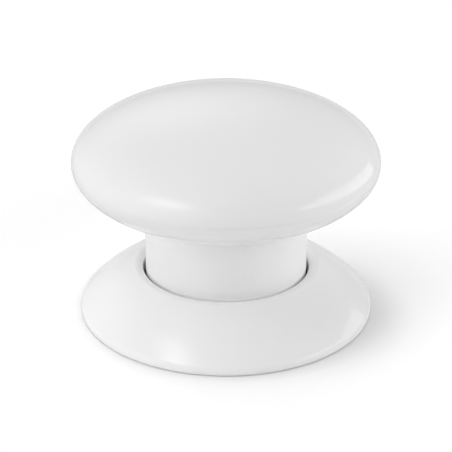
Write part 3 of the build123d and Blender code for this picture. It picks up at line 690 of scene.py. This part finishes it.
def addBoss(profile, wallPoint, wallWay, angle):
    # a peg with a pilot hole in its underside, closed where the wall cuts it
    boss = bmesh.new()
    tall = foot["height"] - foot["plateTop"]
    bmesh.ops.create_cone(boss, cap_ends=True, segments=32, radius1=foot["bossRadius"], radius2=foot["bossRadius"],
                          depth=tall)
    bmesh.ops.translate(boss, vec=(foot["bossCircle"], 0, foot["plateTop"] + tall / 2), verts=boss.verts[:])
    cut = bmesh.ops.bisect_plane(boss, geom=boss.verts[:] + boss.edges[:] + boss.faces[:], plane_co=wallPoint,
                                 plane_no=wallWay, clear_outer=True)
    rimEdges = [item for item in cut["geom_cut"] if isinstance(item, bmesh.types.BMEdge)]
    bmesh.ops.contextual_create(boss, geom=rimEdges)
    under = min(boss.faces, key=lambda face: face.calc_center_median().z)
    bmesh.ops.inset_region(boss, faces=[under], thickness=foot["bossRadius"] - foot["pilotRadius"])
    pilot = bmesh.ops.extrude_face_region(boss, geom=[under])
    bmesh.ops.translate(boss, vec=(0, 0, foot["pilotDepth"]),
                        verts=[item for item in pilot["geom"] if isinstance(item, bmesh.types.BMVert)])
    bmesh.ops.delete(boss, geom=[under], context="FACES_ONLY")
    bmesh.ops.recalc_face_normals(boss, faces=boss.faces[:])
    bmesh.ops.rotate(boss, cent=(0, 0, 0), verts=boss.verts[:],
                     matrix=Matrix.Rotation(math.radians(angle), 3, "Z"))
    part = bpy.data.meshes.new("bossPart")
    boss.to_mesh(part)
    boss.free()
    profile.from_mesh(part)
    bpy.data.meshes.remove(part)


def makeBaseShell():
    lipCentre, rimCentre, centre, radius = flankArc()
    inner = radius - foot["wall"]
    holeEdge = foot["holeRadius"] + foot["lipTuck"]
    wallOuter = foot["holeRadius"] + foot["holeWall"]
    lowAngle = math.degrees(math.asin((foot["plateTop"] - centre.y) / inner))
    highAngle = math.degrees(math.acos((wallOuter - centre.x) / inner))
    rimAngle = angleOf(rimCentre - centre)
    profile = bmesh.new()
    chain = addCorner(profile, foot["throatRadius"], foot["holeBottom"], foot["holeRounding"])
    chain += addCorner(profile, foot["throatRadius"], foot["throatTop"])
    chain += addArc(profile, Vector((lipCentre.x, foot["height"] - foot["lipDrop"])),
                    (lipCentre.x - holeEdge, foot["lipDrop"]), 180, 92, steps=20)
    chain += addArc(profile, lipCentre, (foot["lipRadius"], foot["lipRadius"]), 90, 90 - foot["lipSlope"], steps=12)
    chain += addArc(profile, centre, (radius, radius), 90 - foot["lipSlope"] - foot["lipJoin"],
                    rimAngle + foot["rimJoin"], steps=56)
    chain += addArc(profile, rimCentre, (foot["rimRound"], foot["rimRound"]), rimAngle, 0, steps=10)
    chain += addCorner(profile, foot["radius"], foot["rimLift"], foot["edgeRounding"])
    chain += addCorner(profile, foot["bore"], foot["rimLift"], foot["edgeRounding"])
    chain += addCorner(profile, foot["bore"], foot["plateTop"])
    chain += addArc(profile, centre, (inner, inner), lowAngle, highAngle, steps=24)
    chain += addCorner(profile, wallOuter, foot["holeBottom"], foot["holeRounding"])
    closeOutline(profile, chain)
    turnOutline(profile, foot["turnSteps"])
    # screw bosses under the flank, cut along the slope of the wall's middle
    slopeAngle = math.radians((lowAngle + highAngle) / 2)
    wallWay = Vector((math.cos(slopeAngle), 0, math.sin(slopeAngle)))
    wallPoint = Vector((centre.x, 0, centre.y)) + (radius - foot["bossCutShare"] * foot["wall"]) * wallWay
    for turn in range(foot["bossCount"]):
        addBoss(profile, wallPoint, wallWay, foot["bossAngle"] + turn * 360 / foot["bossCount"])
    return finishPiece(profile, "baseShell", "base", footWhitePaintedLighter, "base_shell")


# Springs: the coil under the stem's floor and the snap dome under the plunger

coil = {
    "radius": 10.0, "wire": 0.6, "bottom": 4.0, "top": 17.867, "turns": 7, "travel": 0.7,
    "stepsPerTurn": 60, "sides": 12,
}


def makeReturnSpring():
    work = bmesh.new()
    bmesh.ops.create_circle(work, segments=coil["sides"], radius=coil["wire"] / 2, cap_ends=True)
    bmesh.ops.rotate(work, cent=(0, 0, 0), matrix=Matrix.Rotation(math.radians(90), 3, "X"), verts=work.verts[:])
    bmesh.ops.translate(work, vec=(coil["radius"], 0, coil["bottom"] + coil["wire"] / 2), verts=work.verts[:])
    steps = coil["turns"] * coil["stepsPerTurn"]
    rise = (coil["top"] - coil["bottom"] - coil["wire"]) / steps
    bmesh.ops.spin(work, geom=work.faces[:], cent=(0, 0, 0), dvec=(0, 0, rise), axis=(0, 0, 1),
                   angle=coil["turns"] * math.tau, steps=steps, use_duplicate=False)
    bmesh.ops.recalc_face_normals(work, faces=work.faces[:])
    spring = finishPiece(work, "returnSpring", "head", finishes["spring_steel"], "return_spring")
    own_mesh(spring)
    return spring


snap = {
    "radius": 2.35, "sheet": 0.12, "seat": 28.8, "apex": 30.2, "flatRadius": 0.5, "travel": 0.7,
    "apexSpare": 0.03, "turnSteps": 64,
}


def makeSnapDome():
    rise = snap["apex"] - snap["seat"]
    inside = snap["radius"] - snap["sheet"]
    middle = (0, snap["seat"])
    profile = bmesh.new()
    chain = addArc(profile, middle, (snap["radius"], rise), 0, ellipseAngle(snap["flatRadius"], snap["radius"]),
                   steps=16)
    chain += addCorner(profile, 0, chain[-1][0].co.z)
    chain += addCorner(profile, 0, snap["apex"] - snap["sheet"] - snap["apexSpare"])
    chain += addArc(profile, middle, (inside, rise - snap["sheet"]), ellipseAngle(snap["flatRadius"], inside), 0,
                    steps=16)
    closeOutline(profile, chain)
    turnOutline(profile, snap["turnSteps"])
    dome = finishPiece(profile, "snapDome", "carrier", finishes["spring_steel"], "switch_dome")
    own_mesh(dome)
    return dome


makeDomeCap()
makeLowerShell()
makeStemSleeve()
makeBaseShell()
makeReturnSpring()
makeSnapDome()

# Camera at the photograph's place

shot = {
    "place": (0.0, -173.66, 94.09), "pitchDown": 25.048, "lens": 99.83, "sensor": 36.0,
    "clipStart": 0.005, "clipEnd": 20.0,  # metres
}

cameraData = bpy.data.cameras.new("shotCamera")
cameraData.lens = shot["lens"]
cameraData.sensor_width = shot["sensor"]
cameraData.clip_start = shot["clipStart"]
cameraData.clip_end = shot["clipEnd"]
camera = bpy.data.objects.new("shotCamera", cameraData)
camera.location = Vector(shot["place"]) * millimetre
camera.rotation_euler = (math.radians(90 - shot["pitchDown"]), 0, 0)
bpy.context.scene.collection.objects.link(camera)
bpy.context.scene.camera = camera
print("camera placed")

# White table. The camera sees it lifted towards white, less so about the foot and least in a ring beside its rim,
# which paints shade about the foot, deepest to its right, over its own shadow.

table = {
    "halfSide": 3000.0, "drop": 0.02, "white": 0.9, "cameraLift": 0.17,
    "cameraLiftNear": 0.03, "liftMiddle": (5.0, -2.0, 0.0), "liftFrom": 17.0, "liftTo": 25.0,
    "rimShare": 0.4, "rimFrom": 22.4, "rimTo": 25.5,
}


def bareMaterial(name):
    material = bpy.data.materials.new(name)
    material.use_nodes = True
    tree = material.node_tree
    tree.nodes.clear()
    return material, tree, addNode(tree, "ShaderNodeTexCoord").outputs["Object"]


def addUp(tree, first, second):
    # both shaders together become the surface
    both = addNode(tree, "ShaderNodeAddShader", {0: first.outputs[0], 1: second.outputs[0]})
    addNode(tree, "ShaderNodeOutputMaterial", {"Surface": both.outputs[0]})


def makeTable():
    material, tree, place = bareMaterial("whiteTable")
    middle = Vector(table["liftMiddle"]) * millimetre
    # painted shade: the lift falls off towards the foot, about a middle set to its right, and drops further in a ring
    # beside its rim
    whiter = mapValue(tree, measure(tree, "DISTANCE", place, middle),
                      (table["liftFrom"] * millimetre, table["liftTo"] * millimetre),
                      (table["cameraLiftNear"], table["cameraLift"]), smooth=True)
    rimShadeShare = mapValue(tree, measure(tree, "LENGTH", place),
                         (table["rimFrom"] * millimetre, table["rimTo"] * millimetre),
                         (table["rimShare"], 1.0), smooth=True)
    seen = addNode(tree, "ShaderNodeLightPath").outputs["Is Camera Ray"]
    lift = combine(tree, "MULTIPLY", seen, combine(tree, "MULTIPLY", whiter, rimShadeShare))
    paper = addNode(tree, "ShaderNodeBsdfDiffuse", {"Color": grey(table["white"])})
    addUp(tree, paper, addNode(tree, "ShaderNodeEmission", {"Color": grey(1.0), "Strength": lift}))
    work = bmesh.new()
    bmesh.ops.create_grid(work, x_segments=1, y_segments=1, size=table["halfSide"])
    bmesh.ops.translate(work, vec=(0, 0, -table["drop"]), verts=work.verts[:])
    top = placeMesh(work, "whiteTable", material)
    top.visible_glossy = False


makeTable()

# Soft room: wide lobes of brightness, each about one direction. Azimuth 0 is behind the camera, 90 to the
# right; focus says how narrow the lobe is. One set lights the surfaces, the other is what gloss mirrors, and
# the camera itself sees plain white.

roomLight = {
    "rightFront": {"azimuth": 30.0, "elevation": 30.0, "focus": 24.0, "level": 2.8},
    "rightNear": {"azimuth": 60.0, "elevation": 20.0, "focus": 24.0, "level": 1.5},
    "right": {"azimuth": 90.0, "elevation": 30.0, "focus": 24.0, "level": 1.2},
    "rightLow": {"azimuth": 90.0, "elevation": 4.0, "focus": 24.0, "level": 2.8},
    "rightBack": {"azimuth": 135.0, "elevation": 5.0, "focus": 4.0, "level": 1.9},
    "left": {"azimuth": -90.0, "elevation": 15.0, "focus": 24.0, "level": 3.7},
    "leftLow": {"azimuth": -60.0, "elevation": 4.0, "focus": 24.0, "level": 4.7},
    "leftFront": {"azimuth": -60.0, "elevation": 40.0, "focus": 24.0, "level": 1.1},
    "leftHigh": {"azimuth": -60.0, "elevation": 65.0, "focus": 24.0, "level": 3.05},
    "leftBack": {"azimuth": -150.0, "elevation": 15.0, "focus": 24.0, "level": 3.0},
    "backHigh": {"azimuth": -150.0, "elevation": 65.0, "focus": 24.0, "level": 2.1},
}
roomMirror = {
    "leftFront": {"azimuth": -45.0, "elevation": 10.0, "focus": 6.0, "level": 0.8},
    "back": {"azimuth": -168.0, "elevation": 32.0, "focus": 20.0, "level": 0.75},
    "behind": {"azimuth": 180.0, "elevation": -22.0, "focus": 10.0, "level": 0.22},
}
evenMirror = {"above": 0.35, "below": 0.5, "horizonBlur": 0.02}


def addLobes(tree, way, lobes, start):
    total = start
    for lobe in lobes.values():
        azimuth, elevation = math.radians(lobe["azimuth"]), math.radians(lobe["elevation"])
        outward = math.cos(elevation)
        middle = (math.sin(azimuth) * outward, -math.cos(azimuth) * outward, math.sin(elevation))
        ahead = combine(tree, "MAXIMUM", measure(tree, "DOT_PRODUCT", way, middle))
        bright = combine(tree, "MULTIPLY", combine(tree, "POWER", ahead, lobe["focus"]), lobe["level"])
        total = combine(tree, "ADD", bright, total)
    return total


def pickLevel(tree, choice, otherwise, chosen):
    pick = addNode(tree, "ShaderNodeMix", {"Factor": choice, "A": otherwise, "B": chosen}, data_type="FLOAT")
    return pick.outputs["Result"]


def makeRoomLight():
    world = bpy.data.worlds.new("whiteRoom")
    world.use_nodes = True
    bpy.context.scene.world = world
    tree = world.node_tree
    backdrop = tree.nodes["Background"]
    backdrop.inputs["Color"].default_value = grey(1.0)
    way = addNode(tree, "ShaderNodeTexCoord").outputs["Generated"]
    even = mapValue(tree, axisOf(tree, way, "Z"), (-evenMirror["horizonBlur"], evenMirror["horizonBlur"]),
                    (evenMirror["below"], evenMirror["above"]))
    path = addNode(tree, "ShaderNodeLightPath")
    level = pickLevel(tree, path.outputs["Is Glossy Ray"], addLobes(tree, way, roomLight, 0.0),
                      addLobes(tree, way, roomMirror, even))
    level = pickLevel(tree, path.outputs["Is Camera Ray"], level, 1.0)
    tree.links.new(level, backdrop.inputs["Strength"])


makeRoomLight()

# Bright cards that only show as reflections. The window card is a long pane that runs back on the right:
# one entry for each upright edge of its panes, with its place and its top and bottom heights. The soft cards
# fade towards their rims, and each shows only to a surface further off than its "beyond", so that the head and
# the foot have one highlight each.

windowCard = {
    "frontLevel": 2.1, "backLevel": 0.8,
    "uprights": (
        (48.0, -52.0, 21.4, 15.3), (64.1, -37.8, 38.0, 14.4), (81.7, -22.2, 44.0, 13.5), (94.6, 3.5, 44.9, 11.3),
        (94.6, 15.0, 44.1, 11.6), (101.0, 37.0, 43.2, 10.2), (106.3, 67.4, 40.5, 8.3),
    ),
}
softCards = {
    "headGlow": {"place": (-30.0, -45.0, 38.5), "aim": (0.0, 0.0, 20.0), "radius": 12.0, "stretch": 2.0,
                 "level": 3.0, "beyond": 1.0, "blur": 1.0},
    "footGlow": {"place": (-35.4, -37.3, 52.7), "aim": (-8.0, -19.5, 2.4), "radius": 16.5, "stretch": 1.5,
                 "level": 2.7, "beyond": 54.0, "blur": 1.0},
}


def wireGlow(tree, level):
    # adds its light to whatever is reflected behind it
    glow = addNode(tree, "ShaderNodeEmission", {"Color": grey(1.0), "Strength": level})
    addUp(tree, addNode(tree, "ShaderNodeBsdfTransparent"), glow)


def showOnlyInReflections(card):
    card.visible_camera = False
    card.visible_diffuse = False
    card.visible_shadow = False
    card.visible_transmission = False
    card.visible_volume_scatter = False


def makeWindowCard():
    work = bmesh.new()
    edges = []
    for across, back, high, low in windowCard["uprights"]:
        edges.append(work.edges.new((work.verts.new((across, back, high)), work.verts.new((across, back, low)))))
    for first, second in zip(edges, edges[1:]):
        bmesh.ops.contextual_create(work, geom=[first, second])
    material, tree, place = bareMaterial("windowGlow")
    frontEdge, backEdge = windowCard["uprights"][0][1], windowCard["uprights"][-1][1]
    fade = mapValue(tree, axisOf(tree, place, "Y"), (frontEdge * millimetre, backEdge * millimetre),
                    (windowCard["frontLevel"], windowCard["backLevel"]))
    wireGlow(tree, fade)
    showOnlyInReflections(placeMesh(work, "windowCard", material))


def makeSoftCard(name, values):
    work = bmesh.new()
    bmesh.ops.create_circle(work, segments=48, radius=values["radius"], cap_ends=True)
    material, tree, place = bareMaterial(name)
    fade = mapValue(tree, measure(tree, "LENGTH", place), (values["radius"] * millimetre, 0.0),
                    (0.0, values["level"]), smooth=True)
    wayHere = addNode(tree, "ShaderNodeLightPath").outputs["Ray Length"]
    farOff = mapValue(tree, wayHere, ((values["beyond"] - values["blur"]) * millimetre,
                                      (values["beyond"] + values["blur"]) * millimetre))
    wireGlow(tree, combine(tree, "MULTIPLY", fade, farOff))
    card = placeMesh(work, name, material)
    card.location = Vector(values["place"]) * millimetre
    aim = Vector(values["aim"]) * millimetre
    card.rotation_euler = (aim - card.location).to_track_quat("-Z", "Y").to_euler()
    card.scale = (values["stretch"], 1, 1)
    showOnlyInReflections(card)


makeWindowCard()
for cardName, cardValues in softCards.items():
    makeSoftCard(cardName, cardValues)
print("table, room and cards placed")

bpy.context.scene.view_settings.view_transform = "Standard"
